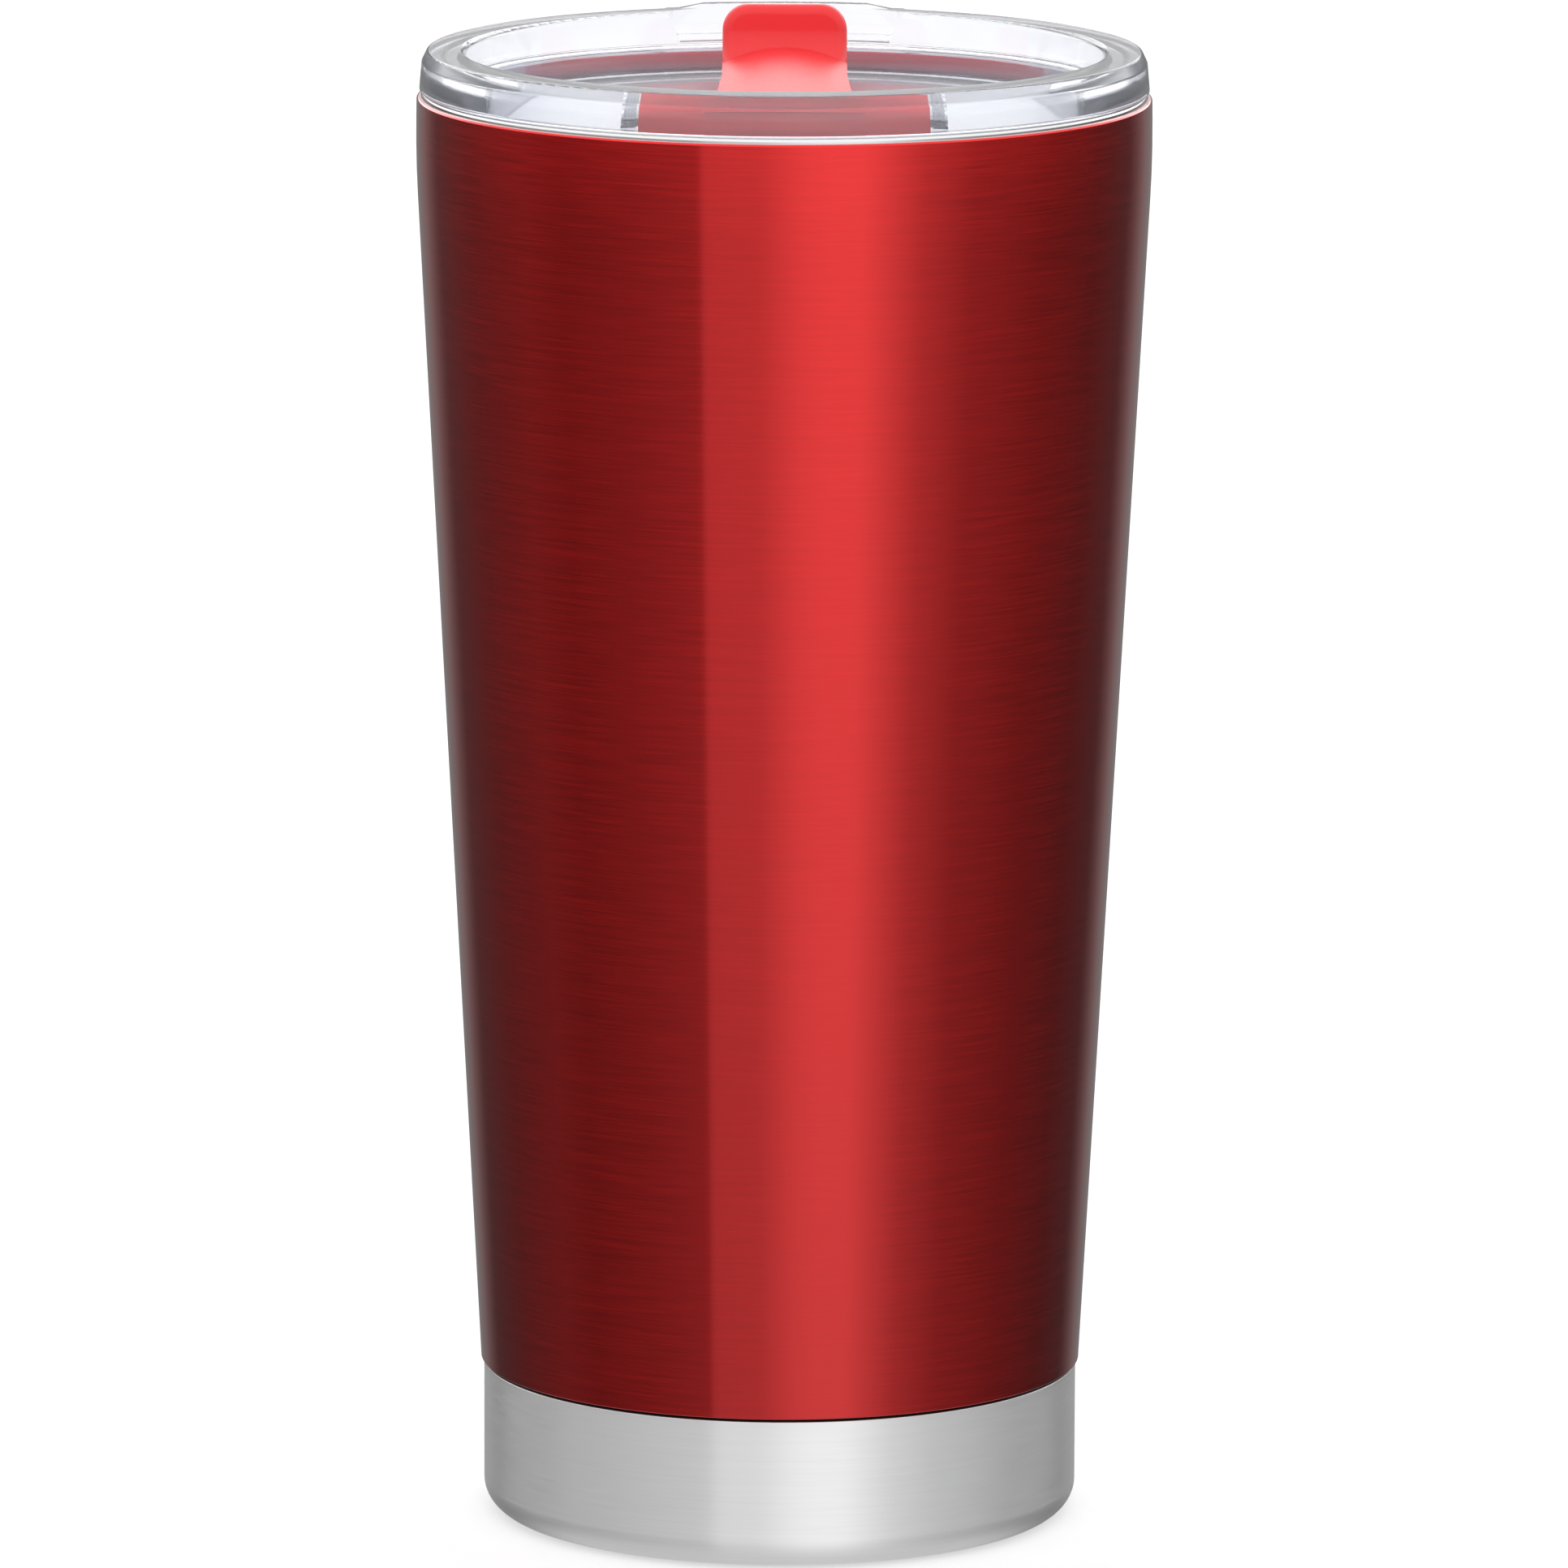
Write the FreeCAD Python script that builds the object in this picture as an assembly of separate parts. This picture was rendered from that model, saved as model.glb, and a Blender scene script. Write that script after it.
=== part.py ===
"""Double-wall steel tumbler, about 590 ml, with a clear push-in lid and a flip lever over the drinking slot.

Frame: millimetres, +Z up, origin at the centre of the foot on the table. The lid's spout is at +Y, and the
lever's hinge is on the -Y side, with its axis along X. Each piece is one STEP file in parts/.
"""

import FreeCAD, Part
import math
import os

from FreeCAD import Vector

os.makedirs("parts", exist_ok=True)

UP = Vector(0, 0, 1)
ORIGIN = Vector(0, 0, 0)

# ---- Driving dimensions ----------------------------------------------------------------------------------
BODY_RADIUS = 43.7          # widest part of the tumbler, a short straight band under the mouth
LIP_TOP = 171.7             # top of the rolled steel lip
RIM_TOP = 176.5             # plain top of the lid's ring
SHELL_TOP = 170.95          # where the coated shell meets the rolled lip
SHELL_EDGE_RADIUS = 43.45
TAPER_TOP = 163.9           # where the taper ends and the straight band starts
SEAM_Z = 18.45              # where the coated shell meets the bare base cup
SEAM_GAP = 0.2
SHELL_WALL = 0.6
BAND_RADIUS = 35.6          # bare base cup, outside
TAPER_FOOT_RADIUS = 35.95   # coated shell at the seam
FOOT_CORNER = 3.5           # rounded outer corner of the base cup
LINER_WALL = 0.5
LINER_FLOOR_TOP = 12.8
LINER_FOOT_RADIUS = 31.2
LIP_INNER_RADIUS = 41.55
LIP_OUTER_RADIUS = 43.1

LID_RING_RADIUS = 43.0              # ring's outer wall at the top; it widens slightly downwards
LID_RING_FOOT_RADIUS = 43.3
LID_RING_BOTTOM = LIP_TOP + 0.08    # clearance over the steel lip
LID_DISH_RADIUS = 37.9              # inner wall of the lid's ring, at the top
LID_FLOOR_RADIUS = 36.9             # the same wall where it meets the floor
LID_FLOOR_TOP = 168.8
LID_FLOOR_WALL = 1.8
SKIRT_BOTTOM = 161.5

HINGE_Y = -29.5
HINGE_Z = 171.8
HINGE_PIN_RADIUS = 1.0
BARREL_RADIUS = 1.9
BARREL_HALF = 16.2
LUG_GAP = 0.3
LUG_THICKNESS = 1.6
LUG_HALF_Y = 1.8

LEVER_OPEN_ANGLE = 110.0
LEVER_BOTTOM = LID_FLOOR_TOP + 0.55
PAD_TOP = 172.2
CROWN_TOP = 173.6
CROWN_RADIUS = 16.5
TONGUE_HALF = 7.5
TAB_FRONT_Y = 25.8
TAB_THICKNESS = 1.9
TAB_TOP = 178.6
TAB_EDGE = 1.1
TONGUE_END_Y = 30.6

SLOT_Y = 26.3               # centre of the drinking slot
SLOT_HALF_X = 7.0
SLOT_HALF_Y = 3.7
VENT_Y = -13.0
VENT_RADIUS = 1.75


# ---- Helpers ---------------------------------------------------------------------------------------------
def outline(corners, place):
    """A closed face from corners (u, v) or (u, v, radius). A radius rounds that corner with a tangent arc.

    place turns (u, v) into a 3-D point.
    """
    count = len(corners)
    flat = [Vector(c[0], c[1], 0) for c in corners]
    arcs = []
    for i, corner in enumerate(corners):
        here = flat[i]
        radius = corner[2] if len(corner) > 2 else 0
        if not radius:
            arcs.append((here, None, here))
            continue
        back = (flat[i - 1] - here).normalize()
        ahead = (flat[(i + 1) % count] - here).normalize()
        half = back.getAngle(ahead) / 2
        reach = radius / math.tan(half)
        centre = here + (back + ahead).normalize() * (radius / math.sin(half))
        middle = centre + (here - centre).normalize() * radius
        arcs.append((here + back * reach, middle, here + ahead * reach))
    edges = []
    for i, (start, middle, end) in enumerate(arcs):
        if middle is not None:
            edges.append(Part.Arc(place(start), place(middle), place(end)).toShape())
        following = arcs[(i + 1) % count][0]
        if (following - end).Length > 1e-6:
            edges.append(Part.LineSegment(place(end), place(following)).toShape())
    return Part.Face(Part.Wire(edges))


def on_radius(p):
    """(radius, height) in the XZ plane."""
    return Vector(p.x, 0, p.y)


def on_side(p):
    """(y, z) in the YZ plane."""
    return Vector(0, p.x, p.y)


def on_plan(p):
    """(x, y) in the XY plane."""
    return Vector(p.x, p.y, 0)


def on_front(p):
    """(x, z) in the XZ plane, for shapes pushed along Y."""
    return Vector(p.x, 0, p.y)


def turned(corners, angle=360.0):
    """A solid of revolution about Z from a (radius, height) outline."""
    return outline(corners, on_radius).revolve(ORIGIN, UP, angle)


def turned_sector(corners, half_angle):
    """A turned solid kept only half_angle degrees each side of +Y."""
    solid = turned(corners, 2 * half_angle)
    solid.rotate(ORIGIN, UP, 90 - half_angle)
    return solid


def plan_prism(corners, low, high):
    """An XY outline pushed from height low to height high."""
    face = outline(corners, on_plan)
    face.translate(Vector(0, 0, low))
    return face.extrude(Vector(0, 0, high - low))


def across(corners, half):
    """A YZ outline pushed from x = -half to x = +half."""
    face = outline(corners, on_side)
    face.translate(Vector(-half, 0, 0))
    return face.extrude(Vector(2 * half, 0, 0))


def rod_x(radius, low, high, y, z):
    """A cylinder along X."""
    return Part.makeCylinder(radius, high - low, Vector(low, y, z), Vector(1, 0, 0))


def slot_prism(half_x, half_y, centre_y, low, high):
    """A rounded oblong, long in X, pushed up from low to high."""
    r = half_y * 0.98
    corners = [
        (half_x, centre_y - half_y, r),
        (half_x, centre_y + half_y, r),
        (-half_x, centre_y + half_y, r),
        (-half_x, centre_y - half_y, r),
    ]
    return plan_prism(corners, low, high)


def write(node, shape):
    solid = shape.removeSplitter()
    assert solid.isValid(), node
    assert solid.Solids, node
    print(f"{node}: {len(solid.Solids)} solid, {solid.Volume / 1000:.2f} cm3")
    solid.exportStep(f"parts/{node}.step")


# ---- Cup: coated shell, liner and base -------------------------------------------------------------------
NECK_RADIUS = BAND_RADIUS - SHELL_WALL - 0.05     # the shell's neck, inside the base cup
NECK_BOTTOM = 6.0
SHOULDER_Z = 168.5


def outer_shell():
    """Tapered outer wall. Its foot is joggled inwards to take the base cup, its top meets the rolled lip."""
    wall = SHELL_WALL
    lip = LIP_OUTER_RADIUS
    return turned([
        (NECK_RADIUS, NECK_BOTTOM),
        (NECK_RADIUS, SEAM_Z),
        (TAPER_FOOT_RADIUS, SEAM_Z, 0.5),
        (BODY_RADIUS, TAPER_TOP, 20.0),
        (BODY_RADIUS, SHOULDER_Z, 6.0),
        (SHELL_EDGE_RADIUS, SHELL_TOP, 0.3),
        (lip - wall, SHELL_TOP),
        (BODY_RADIUS - wall, SHOULDER_Z - 0.6, 2.0),
        (BODY_RADIUS - wall, TAPER_TOP, 20.0),
        (TAPER_FOOT_RADIUS - wall, SEAM_Z + wall, 0.2),
        (NECK_RADIUS - wall, SEAM_Z + wall, 0.5),
        (NECK_RADIUS - wall, NECK_BOTTOM),
    ])


def base_cup():
    """Drawn cup over the shell's neck: plain band, rounded foot ring and a raised middle."""
    wall = SHELL_WALL
    top = SEAM_Z - SEAM_GAP
    foot_inner = 28.6
    rise = 1.8
    return turned([
        (0, rise),
        (foot_inner - 1.6, rise, 1.2),
        (foot_inner, 0, 1.0),
        (BAND_RADIUS, 0, FOOT_CORNER),
        (BAND_RADIUS, top, 0.2),
        (BAND_RADIUS - wall, top, 0.1),
        (BAND_RADIUS - wall, wall, FOOT_CORNER - wall),
        (foot_inner + 0.25, wall, 0.6),
        (foot_inner - 1.35, rise + wall, 1.2),
        (0, rise + wall),
    ])


def liner_radius(z):
    """Inside radius of the liner's tapered wall at height z."""
    share = (z - LINER_FLOOR_TOP) / (LIP_TOP - LINER_FLOOR_TOP)
    return LINER_FOOT_RADIUS + (LIP_INNER_RADIUS - LINER_FOOT_RADIUS) * share


def inner_liner():
    """Deep-drawn cup whose mouth rolls over into the lip."""
    wall = LINER_WALL
    roll = (LIP_OUTER_RADIUS - LIP_INNER_RADIUS) / 2
    return turned([
        (0, LINER_FLOOR_TOP),
        (LINER_FOOT_RADIUS, LINER_FLOOR_TOP, 6.0),
        (LIP_INNER_RADIUS, LIP_TOP, roll * 0.97),
        (LIP_OUTER_RADIUS, LIP_TOP, roll * 0.7),
        (LIP_OUTER_RADIUS, SHELL_TOP),
        (LIP_OUTER_RADIUS - wall, SHELL_TOP),
        (LIP_OUTER_RADIUS - wall, LIP_TOP - wall, 0.2),
        (LIP_INNER_RADIUS + wall, LIP_TOP - wall, 0.45),
        (LINER_FOOT_RADIUS + wall, LINER_FLOOR_TOP - wall, 6.0 + wall),
        (0, LINER_FLOOR_TOP - wall),
    ])


def copper_shield():
    """Copper foil sleeve against the liner, in the vacuum space."""
    gap = LINER_WALL + 0.15
    foil = 0.12
    low, high = 24.0, 160.0
    return turned([
        (liner_radius(low) + gap, low),
        (liner_radius(low) + gap + foil, low),
        (liner_radius(high) + gap + foil, high),
        (liner_radius(high) + gap, high),
    ])


FLOOR_PLATE_TOP = 8.2
PLATE_WALL = 0.8
PORT_RADIUS = 1.2


def shell_floor():
    """Plate that closes the vacuum space, flanged down, with a dimple round the evacuation port."""
    edge = NECK_RADIUS - SHELL_WALL - 0.05
    top, low = FLOOR_PLATE_TOP, FLOOR_PLATE_TOP - PLATE_WALL
    dip = 1.0
    return turned([
        (PORT_RADIUS, low - dip),
        (5.0, low - dip, 0.5),
        (6.2, low, 0.5),
        (edge - PLATE_WALL, low, 0.5),
        (edge - PLATE_WALL, low - 1.2),
        (edge, low - 1.2),
        (edge, top, 1.2),
        (5.8, top, 0.8),
        (4.6, top - dip, 0.4),
        (PORT_RADIUS, top - dip),
    ])


def port_seal():
    """Solder-glass bead that closes the evacuation port from below."""
    plate = FLOOR_PLATE_TOP - PLATE_WALL - 1.0
    stem = PORT_RADIUS - 0.05
    return turned([
        (0, plate - 1.0),
        (3.0, plate - 0.9, 0.6),
        (3.0, plate - 0.05, 0.3),
        (stem, plate - 0.05),
        (stem, plate + 0.6, 0.2),
        (0, plate + 0.6),
    ])


GETTER_X = 17.0
GETTER_RADIUS = 4.0
GETTER_LOW = FLOOR_PLATE_TOP + 0.35


def getter_pill():
    """Pressed getter ring that keeps the vacuum."""
    low, high = GETTER_LOW, GETTER_LOW + 1.9
    pill = turned([
        (0, low),
        (GETTER_RADIUS, low, 0.3),
        (GETTER_RADIUS, high, 0.4),
        (GETTER_RADIUS - 0.9, high, 0.3),
        (GETTER_RADIUS - 1.3, high - 0.5, 0.3),
        (0, high - 0.5),
    ])
    pill.translate(Vector(GETTER_X, 0, 0))
    return pill


def getter_clip():
    """Spring strip spot-welded to the floor plate, with an arm up each side of the getter."""
    strip = 0.3
    inner = GETTER_RADIUS + 0.05
    low, high = FLOOR_PLATE_TOP, GETTER_LOW + 1.5
    corners = [
        (-inner - strip, low, 0.3),
        (inner + strip, low, 0.3),
        (inner + strip, high, 0.1),
        (inner, high, 0.1),
        (inner, low + strip, 0.1),
        (-inner, low + strip, 0.1),
        (-inner, high, 0.1),
        (-inner - strip, high, 0.1),
    ]
    clip = outline(corners, on_front).extrude(Vector(0, 4.0, 0))
    clip.translate(Vector(GETTER_X, -2.0, 0))
    return clip


# ---- Lid: clear moulding, gasket and hinge pin -----------------------------------------------------------
GROOVE_LOW = 165.4
GROOVE_HIGH = 168.4
GROOVE_RADIUS = 38.8
RIDGE_RADIUS = 17.5
RIDGE_HEIGHT = 0.3
SPOUT_RISE = 0.55
SPOUT_HALF = 12.8           # half width of the spout at its foot
SPOUT_CREST_HALF = 9.4      # half width of its level crest


def lid_turning():
    """The lid's round moulding: ring on the lip, dished floor, and a grooved skirt inside the mouth."""
    floor = LID_FLOOR_TOP
    under = floor - LID_FLOOR_WALL
    return turned([
        (0, floor),
        (RIDGE_RADIUS - 0.7, floor, 0.2),
        (RIDGE_RADIUS - 0.4, floor + RIDGE_HEIGHT, 0.15),
        (RIDGE_RADIUS + 0.4, floor + RIDGE_HEIGHT, 0.15),
        (RIDGE_RADIUS + 0.7, floor, 0.2),
        (LID_FLOOR_RADIUS, floor, 1.2),
        (LID_DISH_RADIUS, RIM_TOP, 0.7),
        (42.35, RIM_TOP, 0.35),
        (LID_RING_RADIUS, RIM_TOP - 1.35, 0.5),
        (LID_RING_FOOT_RADIUS, LID_RING_BOTTOM, 0.25),
        (40.6, LID_RING_BOTTOM, 0.3),
        (40.25, GROOVE_HIGH, 0.15),
        (GROOVE_RADIUS, GROOVE_HIGH),
        (GROOVE_RADIUS, GROOVE_LOW),
        (40.15, GROOVE_LOW, 0.15),
        (39.9, SKIRT_BOTTOM, 0.6),
        (38.0, SKIRT_BOTTOM, 0.5),
        (37.2, under, 1.0),
        (0, under),
    ])


def spout_crest():
    """The raised drinking lip at +Y: a taller piece of ring, cut to a hump when seen from the front."""
    crest = RIM_TOP + SPOUT_RISE
    ring = turned_sector([
        (39.8, RIM_TOP - 1.0),
        (40.6, RIM_TOP - 0.9),
        (41.9, crest, 0.4),
        (42.6, crest, 0.3),
        (LID_RING_RADIUS, RIM_TOP, 0.8),
        (LID_RING_RADIUS, RIM_TOP - 1.4),
        (39.8, RIM_TOP - 1.4),
    ], 22.0)
    low = RIM_TOP - 2.0
    hump = outline([
        (-SPOUT_HALF - 2.0, low),
        (SPOUT_HALF + 2.0, low),
        (SPOUT_HALF + 2.0, RIM_TOP - 0.02, 0.5),
        (SPOUT_HALF, RIM_TOP - 0.02, 3.0),
        (SPOUT_CREST_HALF, crest + 0.05, 3.0),
        (-SPOUT_CREST_HALF, crest + 0.05, 3.0),
        (-SPOUT_HALF, RIM_TOP - 0.02, 3.0),
        (-SPOUT_HALF - 2.0, RIM_TOP - 0.02, 0.5),
    ], on_front).extrude(Vector(0, 60, 0))
    return ring.common(hump)


def pour_pocket():
    """What is cut from the ring's inner wall behind the tab: a ramp up to the lip.

    Its ends flare towards the middle of the lid, and towards the top.
    """
    hollow = turned_sector([
        (36.0, RIM_TOP + 3.0),
        (36.0, 172.8),
        (37.5, 172.9, 0.4),
        (39.0, 174.2, 0.6),
        (40.6, RIM_TOP - 0.7, 0.3),
        (42.1, RIM_TOP + SPOUT_RISE + 0.1),
        (42.1, RIM_TOP + 3.0),
    ], 30.0)
    wedge = plan_prism([
        (-17.0, 33.0),
        (17.0, 33.0),
        (13.6, 36.9, 0.8),
        (10.4, 40.1, 0.8),
        (9.4, 46.0),
        (-9.4, 46.0),
        (-10.4, 40.1, 0.8),
        (-13.6, 36.9, 0.8),
    ], 171.0, 181.0)
    front = outline([
        (-12.2, 172.0),
        (12.2, 172.0),
        (14.3, RIM_TOP),
        (16.5, 181.0),
        (-16.5, 181.0),
        (-14.3, RIM_TOP),
    ], on_front).extrude(Vector(0, 60, 0))
    return hollow.common(wedge).common(front)


def hinge_lug(side):
    """An upright lug beside the lever that holds one end of the pin. side is +1 or -1 along X."""
    half = LUG_HALF_Y
    shape = across([
        (HINGE_Y - half, LID_FLOOR_TOP - 0.4),
        (HINGE_Y + half, LID_FLOOR_TOP - 0.4),
        (HINGE_Y + half, HINGE_Z + half, half * 0.97),
        (HINGE_Y - half, HINGE_Z + half, half * 0.97),
    ], LUG_THICKNESS / 2)
    shape.translate(Vector(side * (BARREL_HALF + LUG_GAP + LUG_THICKNESS / 2), 0, 0))
    return shape


PIN_HALF = BARREL_HALF + LUG_GAP + LUG_THICKNESS


def lid_body():
    body = lid_turning().fuse([spout_crest(), hinge_lug(1), hinge_lug(-1)])
    slot = slot_prism(SLOT_HALF_X, SLOT_HALF_Y, SLOT_Y, 160, LID_FLOOR_TOP + 1)
    vent = Part.makeCylinder(VENT_RADIUS, 12, Vector(0, VENT_Y, 160), UP)
    pin_hole = rod_x(HINGE_PIN_RADIUS, -PIN_HALF - 1, PIN_HALF + 1, HINGE_Y, HINGE_Z)
    return body.cut([pour_pocket(), slot, vent, pin_hole])


def lid_gasket():
    """Silicone ring with two wiping lips, in the skirt's groove."""
    inner = GROOVE_RADIUS + 0.1
    low, high = GROOVE_LOW + 0.12, GROOVE_HIGH - 0.12
    return turned([
        (inner, low),
        (40.0, low),
        (41.0, low + 0.55, 0.12),
        (41.0, low + 0.9, 0.12),
        (40.1, low + 0.95, 0.2),
        (40.1, low + 1.45, 0.2),
        (41.05, low + 1.85, 0.12),
        (41.05, low + 2.2, 0.12),
        (40.1, low + 2.3, 0.2),
        (40.0, high),
        (inner, high),
    ])


def hinge_pin():
    pin = rod_x(HINGE_PIN_RADIUS, -PIN_HALF, PIN_HALF, HINGE_Y, HINGE_Z)
    ends = [e for e in pin.Edges if abs(abs(e.CenterOfMass.x) - PIN_HALF) < 0.01]
    return pin.makeChamfer(0.25, ends)


# ---- Flip lever and its stoppers -------------------------------------------------------------------------
BOSS_HALF_X = 4.6
BOSS_HALF_Y = 1.7
BOSS_LOW = LID_FLOOR_TOP - 1.1
PLUG_WAIST = LID_FLOOR_TOP - 1.0
PLUG_BOTTOM = LID_FLOOR_TOP - 2.4
VENT_PLUG_BOTTOM = LID_FLOOR_TOP - 1.2
VENT_POST_RADIUS = 0.9
VENT_POST_TOP = 171.2


def lever_plan():
    """T-shaped outline seen from above: hinge pad in front, tongue behind."""
    right = [
        (BARREL_HALF, HINGE_Y),
        (15.2, -14.8, 1.6),
        (8.6, -14.2, 4.6),
        (TONGUE_HALF, 12.0, 40.0),
        (TONGUE_HALF, TONGUE_END_Y, 2.8),
    ]
    left = [(-c[0], *c[1:]) for c in reversed(right)]
    return right + left


def lever_top():
    """Everything under the lever's upper surface: flat over the pad, crowned along the tongue."""
    reach = 60
    pad = Part.makeBox(2 * reach, 24, PAD_TOP - 160, Vector(-reach, HINGE_Y - 6, 160))
    spine = Vector(0, HINGE_Y - 6, CROWN_TOP - CROWN_RADIUS)
    crown = Part.makeCylinder(CROWN_RADIUS, TAB_FRONT_Y - HINGE_Y + 6, spine, Vector(0, 1, 0))
    heel = Part.makeBox(2 * reach, 8, PAD_TOP - 160, Vector(-reach, TAB_FRONT_Y - 1, 160))
    return pad.fuse([crown, heel])


def thumb_tab():
    """Upright tab at the tongue's end, rounded round its front edge, with a cove at its foot."""
    back = TAB_FRONT_Y + TAB_THICKNESS
    foot = PAD_TOP - 0.15
    side = across([
        (TAB_FRONT_Y - 6.0, LEVER_BOTTOM),
        (back, LEVER_BOTTOM),
        (back, TAB_TOP, 0.5),
        (TAB_FRONT_Y, TAB_TOP),
        (TAB_FRONT_Y, foot, 4.0),
        (TAB_FRONT_Y - 6.0, foot - 0.5),
    ], TONGUE_HALF)
    front = outline([
        (-TONGUE_HALF, LEVER_BOTTOM - 1),
        (TONGUE_HALF, LEVER_BOTTOM - 1),
        (TONGUE_HALF, TAB_TOP, 3.2),
        (-TONGUE_HALF, TAB_TOP, 3.2),
    ], on_front).extrude(Vector(0, 60, 0))
    tab = side.common(front)
    rim = [e for e in tab.Edges if e.BoundBox.YLength < 0.01 and abs(e.CenterOfMass.y - TAB_FRONT_Y) < 0.01
           and e.CenterOfMass.z > foot + 1]
    return tab.makeFillet(TAB_EDGE, rim)


def barrel():
    """The lever's front roll round the hinge: a rounded block whose corners clear the lid's floor as it turns."""
    return across([
        (HINGE_Y, HINGE_Z + BARREL_RADIUS),
        (HINGE_Y - 1.95, HINGE_Z + BARREL_RADIUS, 1.4),
        (HINGE_Y - 2.35, HINGE_Z - 1.5, 0.9),
        (HINGE_Y - 1.4, LEVER_BOTTOM, 0.5),
        (HINGE_Y + BARREL_RADIUS, LEVER_BOTTOM),
        (HINGE_Y + BARREL_RADIUS, HINGE_Z + BARREL_RADIUS, 1.8),
    ], BARREL_HALF)


def heel_stop():
    """Nose along the barrel whose flat meets the lid's floor when the lever is fully open."""
    drop = HINGE_Z - LID_FLOOR_TOP - 0.05
    nose = across([
        (HINGE_Y, HINGE_Z),
        (HINGE_Y - 1.5, HINGE_Z - 0.9),
        (HINGE_Y - 1.5, HINGE_Z - drop, 0.2),
        (HINGE_Y, HINGE_Z - drop),
    ], 9.0)
    nose.rotate(Vector(0, HINGE_Y, HINGE_Z), Vector(1, 0, 0), -LEVER_OPEN_ANGLE)
    return nose


def flip_lever():
    plate = plan_prism(lever_plan(), LEVER_BOTTOM, CROWN_TOP + 1).common(lever_top())
    boss = slot_prism(BOSS_HALF_X, BOSS_HALF_Y, SLOT_Y, BOSS_LOW, LEVER_BOTTOM + 0.2)
    lever = plate.fuse([thumb_tab(), barrel(), boss, heel_stop()])
    bore = rod_x(HINGE_PIN_RADIUS + 0.06, -30, 30, HINGE_Y, HINGE_Z)
    post_hole = Part.makeCylinder(VENT_POST_RADIUS, VENT_POST_TOP - 165, Vector(0, VENT_Y, 165), UP)
    return lever.cut([bore, post_hole])


def drink_plug():
    """Silicone stopper pushed over the lever's boss: a thin flange and a tapering oblong plug."""
    flange_low = LID_FLOOR_TOP + 0.08
    flange_high = LEVER_BOTTOM - 0.02
    flange = slot_prism(SLOT_HALF_X + 0.9, SLOT_HALF_Y + 0.6, SLOT_Y, flange_low, flange_high)
    upper = slot_prism(SLOT_HALF_X - 0.25, SLOT_HALF_Y - 0.25, SLOT_Y, PLUG_WAIST, flange_high)
    lower = slot_prism(SLOT_HALF_X - 0.6, SLOT_HALF_Y - 0.6, SLOT_Y, PLUG_BOTTOM, PLUG_WAIST + 0.1)
    pocket = slot_prism(BOSS_HALF_X + 0.03, BOSS_HALF_Y + 0.03, SLOT_Y, BOSS_LOW - 0.05, 172)
    return flange.fuse([upper, lower]).cut(pocket)


def vent_plug():
    """Small silicone button that closes the air hole when the lever is down."""
    plug = turned([
        (0, VENT_PLUG_BOTTOM),
        (VENT_RADIUS - 0.45, VENT_PLUG_BOTTOM, 0.3),
        (VENT_RADIUS - 0.45, LID_FLOOR_TOP + 0.08),
        (2.4, LID_FLOOR_TOP + 0.08, 0.1),
        (2.4, LEVER_BOTTOM - 0.02, 0.1),
        (VENT_POST_RADIUS - 0.03, LEVER_BOTTOM - 0.02),
        (VENT_POST_RADIUS - 0.03, VENT_POST_TOP - 0.1, 0.2),
        (0, VENT_POST_TOP - 0.1),
    ])
    plug.translate(Vector(0, VENT_Y, 0))
    return plug


PIECES = {
    "outer_shell": outer_shell,
    "base_cup": base_cup,
    "inner_liner": inner_liner,
    "copper_shield": copper_shield,
    "shell_floor": shell_floor,
    "port_seal": port_seal,
    "getter_pill": getter_pill,
    "getter_clip": getter_clip,
    "lid_body": lid_body,
    "lid_gasket": lid_gasket,
    "hinge_pin": hinge_pin,
    "flip_lever": flip_lever,
    "drink_plug": drink_plug,
    "vent_plug": vent_plug,
}

for node, make in PIECES.items():
    write(node, make())
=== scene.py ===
"""Insulated steel tumbler with a clear push-in lid and a flip lever: finished surfaces round the frame."""

import math

import bmesh
import bpy
import numpy as np
from mathutils import Matrix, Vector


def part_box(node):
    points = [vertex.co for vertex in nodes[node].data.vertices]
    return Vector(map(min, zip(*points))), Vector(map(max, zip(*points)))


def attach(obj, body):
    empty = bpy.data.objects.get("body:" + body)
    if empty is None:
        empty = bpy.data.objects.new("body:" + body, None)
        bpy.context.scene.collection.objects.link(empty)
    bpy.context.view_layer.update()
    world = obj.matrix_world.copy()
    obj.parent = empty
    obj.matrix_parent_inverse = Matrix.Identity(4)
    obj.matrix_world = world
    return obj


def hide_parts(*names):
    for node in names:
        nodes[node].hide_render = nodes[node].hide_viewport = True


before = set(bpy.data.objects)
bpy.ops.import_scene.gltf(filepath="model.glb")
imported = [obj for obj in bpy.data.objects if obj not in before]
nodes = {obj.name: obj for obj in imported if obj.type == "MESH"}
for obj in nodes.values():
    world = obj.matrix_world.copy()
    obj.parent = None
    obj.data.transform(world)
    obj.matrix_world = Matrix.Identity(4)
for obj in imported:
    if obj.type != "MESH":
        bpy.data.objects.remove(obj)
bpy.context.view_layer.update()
MM = 0.001


# ---- Liner -----------------------------------------------------------------------------------------------
# The liner is the cup that holds the drink: one deep-drawn stainless wall with a rounded floor. Its mouth is
# rolled outwards and down into a plain lip, which is the only part that shows with the lid in place. It is
# electropolished, so it is bright, with the faint rings that drawing and turning leave.
LINER_WALL = 0.5
LINER_FLOOR = 12.8
LINER_FOOT_RADIUS = 31.2
LINER_FLOOR_ROUND = 6.0
MOUTH_RADIUS = 41.55
LIP_RADIUS = 43.1
LIP_ROUND_IN = 0.75
LIP_ROUND_OUT = 0.54


def unit(arrows):
    """Rows of arrows, each divided by its own length."""
    return arrows / np.maximum(np.linalg.norm(arrows, axis=-1, keepdims=True), 1e-9)


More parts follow.
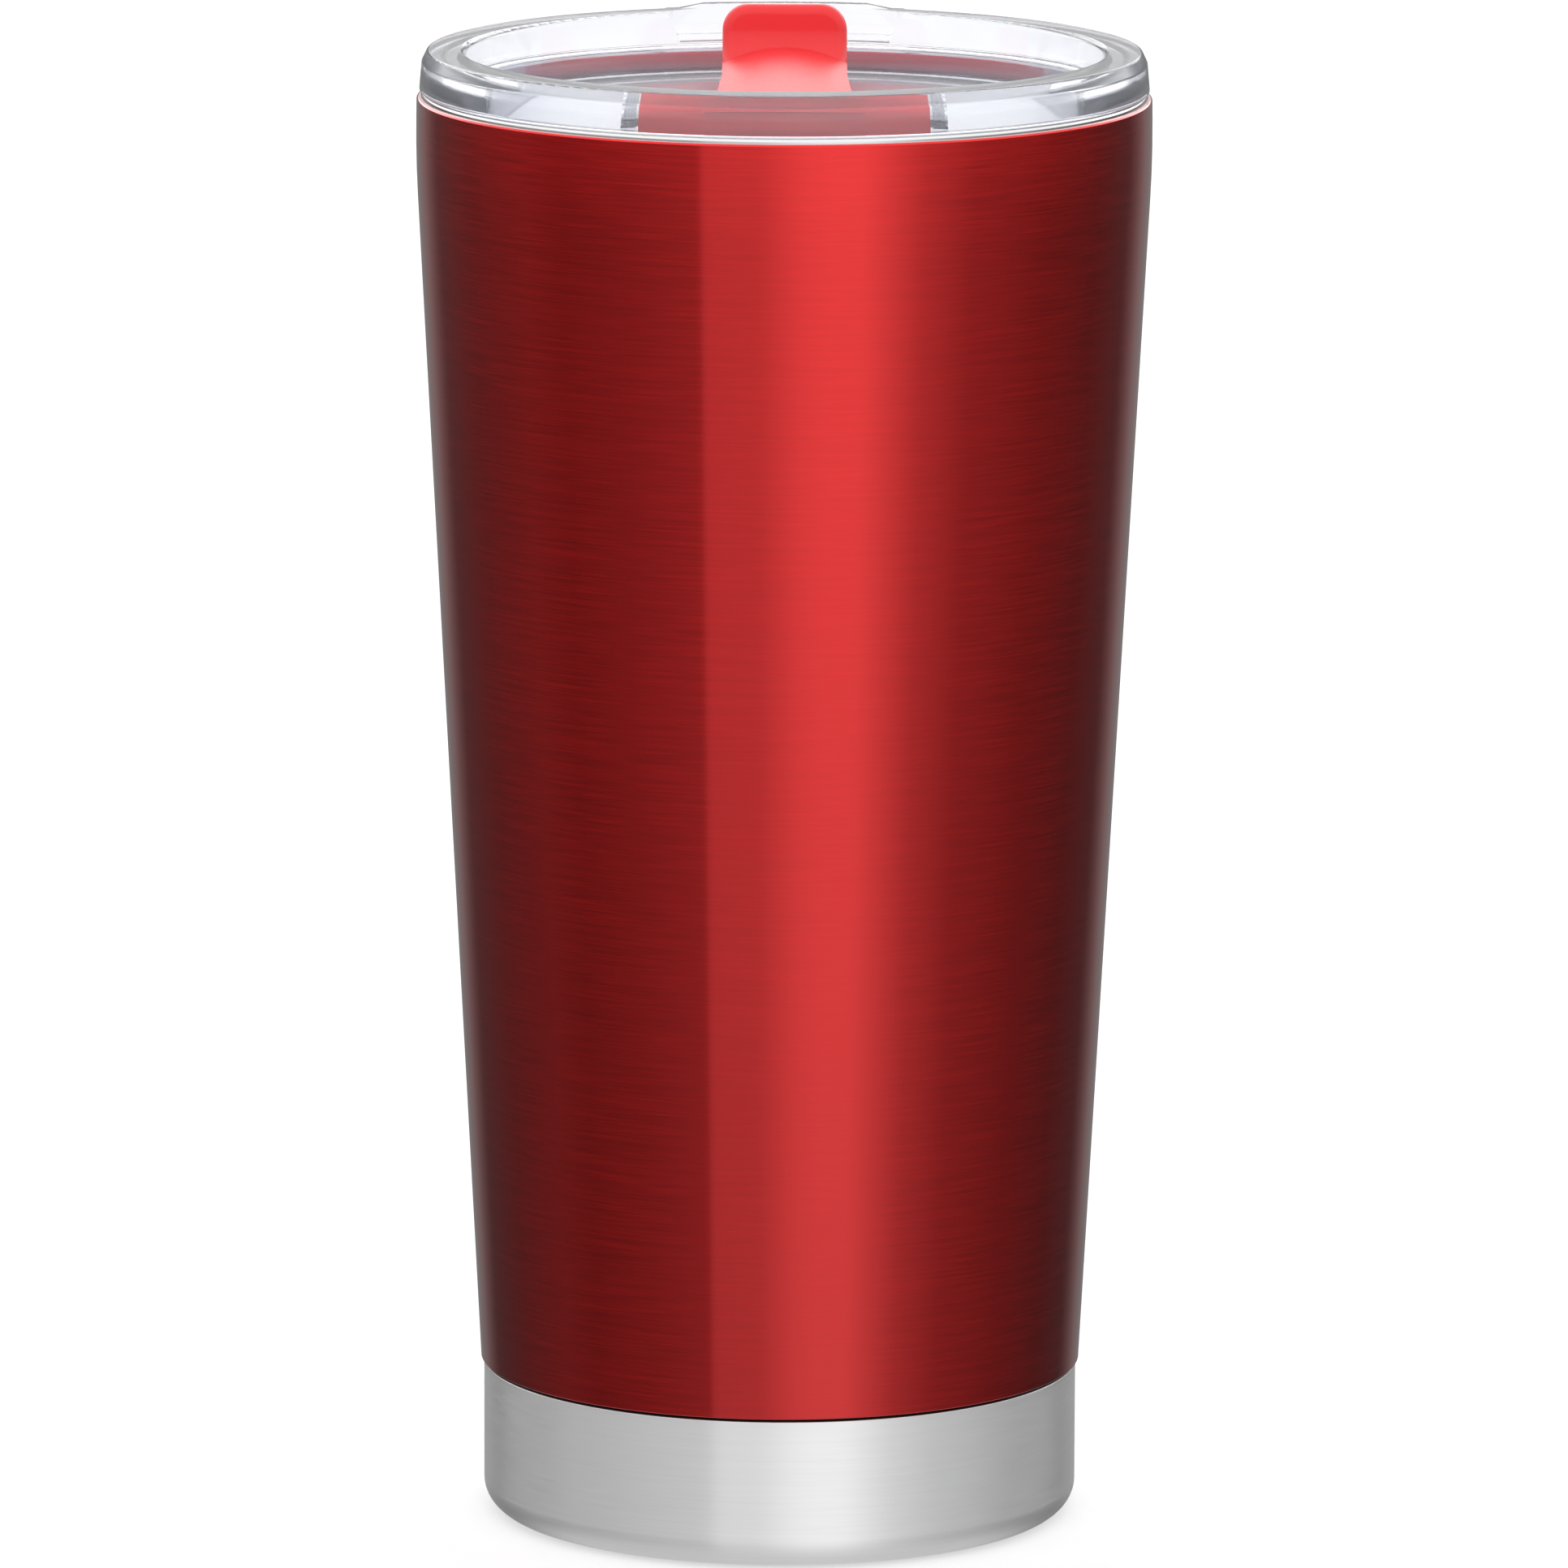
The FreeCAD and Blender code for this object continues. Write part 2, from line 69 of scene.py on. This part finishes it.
def rounded(corners, closed=True, turn_step=9.0, run_step=6.0, guard=0.07):
    """Points round the cut edge of a turned wall, in millimetres. Each corner is (radius, height, rounding).

    A rounding of size r swaps its corner for the arc of radius r that touches both runs. The arc's centre
    lies on the corner's bisector, r over the sine of the half angle from the corner, and the arc's points
    are the centre plus the first touching radius swung evenly to the second. Each straight run then gets a
    point close to both of its ends, and others at most run_step apart.
    """
    spots = np.array([corner[:2] for corner in corners], dtype=float)
    sizes = [corner[2] if len(corner) > 2 else 0.0 for corner in corners]
    back = unit(np.roll(spots, 1, axis=0) - spots)
    ahead = unit(np.roll(spots, -1, axis=0) - spots)
    half = np.arccos(np.clip((back * ahead).sum(axis=1), -1, 1)) / 2
    arcs = []
    for spot, size, before, after, lean in zip(spots, sizes, back, ahead, half):
        if not size:
            arcs.append(spot[None])
            continue
        centre = spot + unit(before + after) * size / math.sin(lean)
        first = spot + before * size / math.tan(lean) - centre
        last = spot + after * size / math.tan(lean) - centre
        sweep = math.atan2(first[0] * last[1] - first[1] * last[0], first @ last)
        swing = np.linspace(0, sweep, max(4, math.ceil(abs(math.degrees(sweep)) / turn_step) + 1))
        swung = np.outer(np.cos(swing), first) + np.outer(np.sin(swing), (-first[1], first[0]))
        arcs.append(centre + swung)
    line = []
    for index, arc in enumerate(arcs):
        line.append(arc)
        if index == len(arcs) - 1 and not closed:
            break
        start, end = arc[-1], arcs[(index + 1) % len(arcs)][0]
        run = np.linalg.norm(end - start)
        if run > 5 * guard:
            rows = np.linspace(guard / run, 1 - guard / run, max(2, math.ceil(run / run_step) + 1))
            line.append(start + rows[:, None] * (end - start))
    return np.concatenate(line)


def turned(name, line, closed=True, around=256):
    """A surface of revolution about Z: the point (radius, height) of the line at the angle a is
    (radius cos a, radius sin a, height). A line that starts and ends on the axis is not closed.
    """
    after = np.roll(line, -1, axis=0)
    if (line[:, 0] * after[:, 1] - after[:, 0] * line[:, 1]).sum() < 0:
        line = line[::-1]
    angle = np.linspace(0, 2 * math.pi, around, endpoint=False)
    radius, height = line[:, 0, None], line[:, 1, None]
    points = np.stack([radius * np.cos(angle), radius * np.sin(angle), height + 0 * angle], axis=-1) * MM
    row = np.arange(len(line) if closed else len(line) - 1)[:, None]
    column = np.arange(around)[None]
    above = (row + 1) % len(line) * around
    beside = (column + 1) % around
    row = row * around
    quads = np.stack([row + column, row + beside, above + beside, above + column], axis=-1)
    mesh = bpy.data.meshes.new(name)
    mesh.from_pydata(points.reshape(-1, 3).tolist(), [], quads.reshape(-1, 4).tolist())
    poles = bmesh.new()
    poles.from_mesh(mesh)
    bmesh.ops.remove_doubles(poles, verts=poles.verts, dist=1e-7)
    poles.to_mesh(mesh)
    poles.free()
    mesh.shade_smooth()
    mesh.set_sharp_from_angle(angle=math.radians(32))
    piece = bpy.data.objects.new(name, mesh)
    bpy.context.scene.collection.objects.link(piece)
    return piece


def wire(tree, kind, inputs=(), **settings):
    """A new shader node. inputs maps its sockets to plain values or to other nodes' output sockets."""
    node = tree.nodes.new(kind)
    for name, value in settings.items():
        setattr(node, name, value)
    for name, value in dict(inputs).items():
        if isinstance(value, bpy.types.NodeSocket):
            tree.links.new(value, node.inputs[name])
        else:
            node.inputs[name].default_value = value
    return node


def finish(name, **values):
    """A new material, its node tree and its Principled shader with the given values on its sockets."""
    material = bpy.data.materials.new(name)
    material.use_nodes = True
    shader = material.node_tree.nodes["Principled BSDF"]
    for socket, value in values.items():
        shader.inputs[socket.replace("_", " ")].default_value = value
    return material, material.node_tree, shader


def grain(tree, repeats, detail=3.0):
    """Noise from 0 to 1 over the piece's own space, with the given repeats per metre along x, y and z."""
    place = wire(tree, "ShaderNodeTexCoord").outputs["Object"]
    spread = wire(tree, "ShaderNodeMapping", {"Vector": place, "Scale": repeats}).outputs[0]
    return wire(tree, "ShaderNodeTexNoise", {"Vector": spread, "Scale": 1.0, "Detail": detail}).outputs[0]


def mapped(tree, amount, start, end, low=0.0, high=1.0, **settings):
    """low where amount is at start and high where it is at end, even in between and held beyond both."""
    inputs = {"Value": amount, "From Min": start, "From Max": end, "To Min": low, "To Max": high}
    return wire(tree, "ShaderNodeMapRange", inputs, **settings).outputs[0]


def ranged(tree, amount, low, high):
    """A grain's amount, which mostly runs from 0.3 to 0.7, spread over low to high."""
    return mapped(tree, amount, 0.3, 0.7, low, high)


def tinted(tree, amount, dark, light):
    """The colour dark where amount is low, light where it is high."""
    share = ranged(tree, amount, 0.0, 1.0)
    return wire(tree, "ShaderNodeMix", {0: share, 6: dark, 7: light}, data_type="RGBA").outputs[2]


def raised(tree, shader, amount, depth):
    """Relief on the shader's normal: amount raises the surface by up to depth metres."""
    relief = wire(tree, "ShaderNodeBump", {"Height": amount, "Distance": depth, "Strength": 1.0})
    tree.links.new(relief.outputs[0], shader.inputs["Normal"])


def plain_finish(tree, shader, amount, colours, roughness, depth):
    """One grain drives the colour (dark, light), the roughness (low, high) and relief of depth metres."""
    tree.links.new(tinted(tree, amount, *colours), shader.inputs["Base Color"])
    tree.links.new(ranged(tree, amount, *roughness), shader.inputs["Roughness"])
    raised(tree, shader, amount, depth)


def round_grain(tree, shader):
    """The shader's stretched highlights run across a grain that goes round the Z axis."""
    tangent = wire(tree, "ShaderNodeTangent", direction_type="RADIAL", axis="Z")
    tree.links.new(tangent.outputs[0], shader.inputs["Tangent"])


def dress(material, *names):
    """Gives the frame's own nodes this material."""
    for name in names:
        nodes[name].data.materials.clear()
        nodes[name].data.materials.append(material)


liner_steel, tree, shader = finish(
    "liner_steel", Metallic=1.0, Anisotropic=0.6, Anisotropic_Rotation=0.25, Specular_IOR_Level=0.5)
rings = grain(tree, (40, 40, 1800))
steels = (0.80, 0.81, 0.82, 1), (0.90, 0.90, 0.90, 1)
plain_finish(tree, shader, rings, steels, (0.16, 0.26), 1.5e-6)
round_grain(tree, shader)

lip_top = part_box("inner_liner")[1][2] / MM
shell_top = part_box("outer_shell")[1][2] / MM
liner = turned("liner", rounded([
    (0, LINER_FLOOR),
    (LINER_FOOT_RADIUS, LINER_FLOOR, LINER_FLOOR_ROUND),
    (MOUTH_RADIUS, lip_top, LIP_ROUND_IN),
    (LIP_RADIUS, lip_top, LIP_ROUND_OUT),
    (LIP_RADIUS, shell_top),
    (LIP_RADIUS - LINER_WALL, shell_top),
    (LIP_RADIUS - LINER_WALL, lip_top - LINER_WALL, 0.2),
    (MOUTH_RADIUS + LINER_WALL, lip_top - LINER_WALL, 0.45),
    (LINER_FOOT_RADIUS + LINER_WALL, LINER_FLOOR - LINER_WALL, LINER_FLOOR_ROUND + LINER_WALL),
    (0, LINER_FLOOR - LINER_WALL),
], closed=False), closed=False)
liner.data.materials.append(liner_steel)
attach(liner, "cup")
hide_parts("inner_liner")


# ---- Copper sleeve ---------------------------------------------------------------------------------------
# A sleeve of thin copper foil lies against the liner inside the vacuum space and throws radiant heat back.
# It is wrapped by hand before the shell goes on, so it is slightly creased and its bright face is uneven.
copper, tree, shader = finish("copper", Metallic=1.0)
creases = grain(tree, (260, 260, 90), detail=4.0)
coppers = (0.55, 0.23, 0.12, 1), (0.80, 0.40, 0.24, 1)
plain_finish(tree, shader, creases, coppers, (0.42, 0.24), 6e-5)
dress(copper, "copper_shield")


# ---- Outer shell -----------------------------------------------------------------------------------------
# The outer wall is a tapered stainless tube, welded to the liner's lip at the top and joggled inwards at the
# foot to take the base cup. It is brushed round and round, then sprayed with a clear red lacquer, so the
# steel's fine grain shows through under a hard gloss. The lacquer stops at both edges of the taper.
SHELL_WALL = 0.6
SEAM_HEIGHT = 18.45
TAPER_FOOT_RADIUS = 35.95
NECK_RADIUS = 34.95
NECK_FOOT = 6.0
TAPER_TOP = 163.9
TAPER_BLEND = 140.0
SHOULDER_HEIGHT = 168.5
SHELL_EDGE_RADIUS = 43.6
EDGE_ROUND = 0.25
SEAM_EDGE_ROUND = 0.12
# Painted shade: share of the red kept at the seam, rising to full at the top.
SHADE_AT_FOOT = 0.74
# Painted shade: share of the red left on the neck below the seam, inside the groove.
GROOVE_SHADE = 0.04


def height_of(tree):
    """Height of the shaded point in the piece's own space, in metres."""
    place = wire(tree, "ShaderNodeTexCoord").outputs["Object"]
    return wire(tree, "ShaderNodeSeparateXYZ", {0: place}).outputs["Z"]


def maths(tree, operation, first, second):
    """Two amounts joined by the given operation."""
    return wire(tree, "ShaderNodeMath", {0: first, 1: second}, operation=operation).outputs[0]


def dimmed(tree, colour, share):
    """The colour times share."""
    return wire(tree, "ShaderNodeVectorMath", {0: colour, "Scale": share}, operation="SCALE").outputs[0]


red_lacquer, tree, shader = finish(
    "red_lacquer", Metallic=1.0, Anisotropic=1.0, Anisotropic_Rotation=0.25,
    Coat_Weight=1.0, Coat_Roughness=0.03, Coat_IOR=1.5)
brushing = grain(tree, (110, 110, 6400))
pooling = grain(tree, (14, 14, 9))
height = height_of(tree)
# Painted shade: the red darkens from the top down to the seam, standing in for light that falls off towards
# the foot.
foot_shade = mapped(tree, height, SEAM_HEIGHT * MM, shell_top * MM, SHADE_AT_FOOT, 1.0)
grained = tinted(tree, brushing, (0.83, 0.009, 0.010, 1), (0.90, 0.012, 0.012, 1))
# Painted shade: the neck below the seam has no lacquer and is painted nearly black, as shade in the seam
# groove.
groove_shade = mapped(tree, height, (SEAM_HEIGHT - 0.1) * MM, (SEAM_HEIGHT - 0.02) * MM, GROOVE_SHADE, 1.0)
# Both painted shades together scale the red: darker towards the foot, nearly black below the seam.
painted_shade = maths(tree, "MULTIPLY", foot_shade, groove_shade)
tree.links.new(dimmed(tree, grained, painted_shade), shader.inputs["Base Color"])
rough = maths(tree, "ADD", ranged(tree, brushing, 0.14, 0.20), ranged(tree, pooling, -0.01, 0.02))
tree.links.new(rough, shader.inputs["Roughness"])
raised(tree, shader, brushing, 4e-7)
round_grain(tree, shader)

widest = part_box("outer_shell")[1][0] / MM
shell = turned("outer_wall", rounded([
    (NECK_RADIUS, NECK_FOOT),
    (NECK_RADIUS, SEAM_HEIGHT),
    (TAPER_FOOT_RADIUS, SEAM_HEIGHT, SEAM_EDGE_ROUND),
    (widest, TAPER_TOP, TAPER_BLEND),
    (SHELL_EDGE_RADIUS, shell_top, EDGE_ROUND),
    (LIP_RADIUS - SHELL_WALL, shell_top),
    (widest - SHELL_WALL, SHOULDER_HEIGHT - SHELL_WALL, 2.0),
    (widest - SHELL_WALL, TAPER_TOP, 20.0),
    (TAPER_FOOT_RADIUS - SHELL_WALL, SEAM_HEIGHT + SHELL_WALL, 0.2),
    (NECK_RADIUS - SHELL_WALL, SEAM_HEIGHT + SHELL_WALL, 0.5),
    (NECK_RADIUS - SHELL_WALL, NECK_FOOT),
]))
shell.data.materials.append(red_lacquer)
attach(shell, "cup")
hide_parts("outer_shell")


# ---- Floor plate, port and getter ------------------------------------------------------------------------
# A pressed steel plate closes the vacuum space. Air is drawn out through a hole in its dimple, which a bead
# of solder glass then seals. A pressed getter ring, held by a spring clip, keeps the vacuum clean.
floor_steel, tree, shader = finish("floor_steel", Metallic=1.0)
mill = grain(tree, (500, 500, 500))
greys = (0.50, 0.50, 0.50, 1), (0.66, 0.66, 0.65, 1)
plain_finish(tree, shader, mill, greys, (0.30, 0.48), 4e-6)
dress(floor_steel, "shell_floor", "getter_clip")

solder_glass, tree, shader = finish("solder_glass", IOR=1.6, Coat_Weight=0.6, Coat_Roughness=0.1)
flux = grain(tree, (900, 900, 900))
browns = (0.020, 0.018, 0.016, 1), (0.09, 0.07, 0.05, 1)
plain_finish(tree, shader, flux, browns, (0.12, 0.35), 2e-5)
dress(solder_glass, "port_seal")

getter_metal, tree, shader = finish("getter_metal", Metallic=0.6)
powder = grain(tree, (4000, 4000, 4000), detail=5.0)
dusts = (0.10, 0.10, 0.10, 1), (0.30, 0.29, 0.28, 1)
plain_finish(tree, shader, powder, dusts, (0.62, 0.85), 2e-5)
dress(getter_metal, "getter_pill")


# ---- Base cup --------------------------------------------------------------------------------------------
# A shallow drawn cup covers the floor plate and is pressed over the shell's neck. It carries no lacquer: its
# band and rounded foot are bare stainless with a satin grain brushed round it. Its underside stands on a ring
# and is raised in the middle. A fine groove is left where it meets the lacquered shell; its darkness is
# painted shade on the cup's top edge and the shell's neck.
BAND_WALL = 0.6
SEAM_GROOVE = 0.36
FOOT_ROUND = 3.5
STAND_RADIUS = 28.6
MIDDLE_RISE = 1.8
# Painted shade: share of the steel's colour left on the cup's top edge, in the groove.
GROOVE_EDGE_SHADE = 0.12

band_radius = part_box("base_cup")[1][0] / MM
cup_top = SEAM_HEIGHT - SEAM_GROOVE

bare_steel, tree, shader = finish("bare_steel", Metallic=1.0, Anisotropic=1.0, Anisotropic_Rotation=0.25)
satin = grain(tree, (70, 70, 3600), detail=4.0)
scratches = grain(tree, (160, 160, 9000))
# Painted shade: the cut edge at the top of the cup is painted dark, as shade in the seam groove.
edge_shade = mapped(tree, height_of(tree), (cup_top - 0.1) * MM, (cup_top - 0.03) * MM, 1.0, GROOVE_EDGE_SHADE)
grained = tinted(tree, satin, (0.955, 0.955, 0.96, 1), (0.99, 0.99, 0.99, 1))
tree.links.new(dimmed(tree, grained, edge_shade), shader.inputs["Base Color"])
tree.links.new(ranged(tree, scratches, 0.30, 0.34), shader.inputs["Roughness"])
raised(tree, shader, satin, 6e-7)
round_grain(tree, shader)

base = turned("foot_cup", rounded([
    (0, MIDDLE_RISE),
    (STAND_RADIUS - 1.6, MIDDLE_RISE, 1.2),
    (STAND_RADIUS, 0, 1.0),
    (band_radius, 0, FOOT_ROUND),
    (band_radius, cup_top, 0.15),
    (band_radius - BAND_WALL, cup_top, 0.1),
    (band_radius - BAND_WALL, BAND_WALL, FOOT_ROUND - BAND_WALL),
    (STAND_RADIUS + 0.25, BAND_WALL, 0.6),
    (STAND_RADIUS - 1.35, MIDDLE_RISE + BAND_WALL, 1.2),
    (0, MIDDLE_RISE + BAND_WALL),
], closed=False), closed=False)
base.data.materials.append(bare_steel)
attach(base, "cup")
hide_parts("base_cup")


# ---- Lid moulding ----------------------------------------------------------------------------------------
# The lid is one clear copolyester moulding: a ring that rests on the lip, a dished floor with the drinking
# slot and air hole, a skirt inside the mouth and two lugs for the hinge pin. It is mould-polished, slightly
# milky through its thickness, with faint flow waves where light grazes it, and its floor is a paler satin.
FLOOR_TOP = 168.8
FLOOR_FADE = 0.8
FLOOR_RADIUS = 36.9
RADIUS_FADE = 1
RING_CLARITY = 0.92
FLOOR_CLARITY = 0.5

clear_plastic, tree, shader = finish("clear_plastic", IOR=1.49)
flow = grain(tree, (60, 60, 120), detail=1.0)
clears = (0.90, 0.92, 0.985, 1), (0.95, 0.965, 1.0, 1)
plain_finish(tree, shader, flow, clears, (0.015, 0.05), 4e-6)
place = wire(tree, "ShaderNodeTexCoord").outputs["Object"]
flat = wire(tree, "ShaderNodeVectorMath", {0: place, 1: (1, 1, 0)}, operation="MULTIPLY").outputs[0]
radius = wire(tree, "ShaderNodeVectorMath", {0: flat}, operation="LENGTH").outputs["Value"]
low = mapped(tree, height_of(tree), FLOOR_TOP * MM, (FLOOR_TOP + FLOOR_FADE) * MM, 1.0, 0.0)
inside = mapped(tree, radius, (FLOOR_RADIUS - RADIUS_FADE) * MM, FLOOR_RADIUS * MM, 1.0, 0.0)
floor_share = maths(tree, "MULTIPLY", low, inside)
passed = mapped(tree, floor_share, 0.0, 1.0, RING_CLARITY, FLOOR_CLARITY)
tree.links.new(passed, shader.inputs["Transmission Weight"])
dress(clear_plastic, "lid_body")


# ---- Gasket and stoppers ---------------------------------------------------------------------------------
# The gasket is a soft silicone ring with two wiping lips, stretched into the skirt's groove. The two
# stoppers, moulded of the same clear silicone, are pushed on under the lever and fill the slot and air hole.
clear_silicone, tree, shader = finish(
    "clear_silicone", IOR=1.41, Transmission_Weight=0.6, Specular_IOR_Level=0.35)
haze = grain(tree, (300, 300, 300))
hazes = (0.82, 0.84, 0.86, 1), (0.92, 0.93, 0.94, 1)
plain_finish(tree, shader, haze, hazes, (0.38, 0.52), 3e-6)
dress(clear_silicone, "lid_gasket", "drink_plug", "vent_plug")


# ---- Hinge pin -------------------------------------------------------------------------------------------
# A straight centreless-ground stainless pin runs through the lever and the lid's two lugs, and holds the
# lever to the lid. Its grinding marks run round it, along X.
pin_steel, tree, shader = finish("pin_steel", Metallic=1.0)
ground = grain(tree, (6000, 300, 300))
pin_greys = (0.70, 0.70, 0.71, 1), (0.84, 0.84, 0.84, 1)
plain_finish(tree, shader, ground, pin_greys, (0.16, 0.30), 1e-6)
dress(pin_steel, "hinge_pin")


# ---- Flip lever ------------------------------------------------------------------------------------------
# The lever is one opaque red moulding: a hinge roll and pad in front, a tongue over the lid, and an upright
# thumb tab. Its mould is finely spark-eroded, which leaves a soft, even sheen instead of a gloss.
red_plastic, tree, shader = finish(
    "red_plastic", IOR=1.5, Specular_IOR_Level=0.45, Subsurface_Weight=0.3,
    Subsurface_Radius=(1.0, 0.25, 0.2), Subsurface_Scale=0.004)
spark = grain(tree, (5200, 5200, 5200))
marbling = grain(tree, (90, 60, 90))
reds = tinted(tree, marbling, (0.83, 0.030, 0.036, 1), (0.90, 0.037, 0.044, 1))
tree.links.new(reds, shader.inputs["Base Color"])
tree.links.new(ranged(tree, spark, 0.30, 0.42), shader.inputs["Roughness"])
raised(tree, shader, spark, 5e-6)
dress(red_plastic, "flip_lever")


# ---- Studio ----------------------------------------------------------------------------------------------
# A long lens looks down a little at the tumbler. It stands on a white table in a light tent whose lower band
# changes with compass bearing, one tall window beside the camera and dim sides, and which is white overhead
# with a brighter panel low down behind.
CAMERA_SIDE = 0.00025
CAMERA_DISTANCE = 1.604
CAMERA_HEIGHT = 0.380
CAMERA_PITCH = 0.180
CAMERA_ROLL = 0.0038
LENS_MM = 313.0
TABLE_HALF = 6.0
OVERHEAD = 1.08
UNDERFOOT = 0.62
BACK_DROP = 0.08
BACK_PANEL = 1.9
HORIZON_GAIN = 1.06
SMOOTH = {"interpolation_type": "SMOOTHSTEP"}

camera = bpy.data.objects.new("camera", bpy.data.cameras.new("camera"))
camera.data.lens = LENS_MM
camera.data.clip_end = 50.0
camera.matrix_world = (
    Matrix.Translation((CAMERA_SIDE, -CAMERA_DISTANCE, CAMERA_HEIGHT))
    @ Matrix.Rotation(math.pi / 2 - CAMERA_PITCH, 4, "X")
    @ Matrix.Rotation(CAMERA_ROLL, 4, "Z")
)
bpy.context.scene.collection.objects.link(camera)
bpy.context.scene.camera = camera
bpy.context.scene.view_settings.view_transform = "Standard"

# Brightness of the tent's lower band against bearing in degrees: 0 is the camera's side, 90 is its right.
TENT = [
    (-180, 0.20), (-155, 0.18), (-140, 0.07), (-116, 0.085), (-90, 0.135), (-74, 0.115), (-50, 0.165),
    (-27, 0.25), (-25, 0.50), (-8, 0.54), (6, 0.84), (14, 0.92), (25, 0.92), (33, 0.72), (45, 0.42),
    (62, 0.22), (90, 0.115), (116, 0.06), (138, 0.055), (155, 0.18), (180, 0.20),
]

world = bpy.data.worlds.new("light_tent")
world.use_nodes = True
bpy.context.scene.world = world
tree = world.node_tree
tree.nodes.clear()
direction = wire(tree, "ShaderNodeTexCoord").outputs["Generated"]
parts = wire(tree, "ShaderNodeSeparateXYZ", {0: direction}).outputs
nearness = maths(tree, "MULTIPLY", parts["Y"], -1.0)
bearing = maths(tree, "ARCTAN2", parts["X"], nearness)
share = mapped(tree, bearing, -math.pi, math.pi)
ramp = wire(tree, "ShaderNodeValToRGB", {"Fac": share})
stops = ramp.color_ramp.elements
stops[0].position, stops[1].position = 0.0, 1.0
for degrees, _ in TENT[1:-1]:
    stops.new((degrees + 180) / 360)
for stop, (_, brightness) in zip(stops, TENT):
    stop.color = (brightness, brightness, brightness, 1)

# The band gives way to the floor below and to the white above, whose edge sinks towards the back.
sunken = mapped(tree, parts["Y"], 0.3, 0.8, 0.0, -BACK_DROP)
above = mapped(tree, maths(tree, "ADD", parts["Z"], sunken), -0.01, 0.12, **SMOOTH)
below = mapped(tree, parts["Z"], -0.35, -0.75, **SMOOTH)
floor_grey = (UNDERFOOT,) * 3 + (1,)
roof_grey = (OVERHEAD,) * 3 + (1,)
band = wire(tree, "ShaderNodeMix", {0: below, 6: ramp.outputs["Color"], 7: floor_grey}, data_type="RGBA")
level = wire(tree, "ShaderNodeMix", {0: above, 6: band.outputs[2], 7: roof_grey}, data_type="RGBA")

# The brighter panel covers a range of heights behind, and the horizon lifts a little.
behind = mapped(tree, parts["Y"], 0.2, 0.7, **SMOOTH)
risen = mapped(tree, parts["Z"], 0.11, 0.17, **SMOOTH)
capped = mapped(tree, parts["Z"], 0.55, 0.35, **SMOOTH)
covered = maths(tree, "MULTIPLY", maths(tree, "MULTIPLY", risen, capped), behind)
panel = mapped(tree, covered, 0.0, 1.0, 1.0, BACK_PANEL)
lift = mapped(tree, parts["Z"], -0.27, -0.16, 1.0, HORIZON_GAIN)
strength = maths(tree, "MULTIPLY", panel, lift)
glow = wire(tree, "ShaderNodeBackground", {"Color": level.outputs[2], "Strength": strength})
wire(tree, "ShaderNodeOutputWorld", {"Surface": glow.outputs[0]})

table_mesh = bpy.data.meshes.new("table")
corners = [(x * TABLE_HALF, y * TABLE_HALF, 0) for x, y in ((-1, -1), (1, -1), (1, 1), (-1, 1))]
table_mesh.from_pydata(corners, [], [(0, 1, 2, 3)])
table = bpy.data.objects.new("table", table_mesh)
bpy.context.scene.collection.objects.link(table)
table.visible_glossy = False
white_card, tree, shader = finish(
    "white_card", Roughness=0.9, Emission_Color=(1, 1, 1, 1), Emission_Strength=0.42)
fibre = grain(tree, (120, 120, 120))
whites = tinted(tree, fibre, (0.57, 0.57, 0.57, 1), (0.59, 0.59, 0.59, 1))
tree.links.new(whites, shader.inputs["Base Color"])
table_mesh.materials.append(white_card)
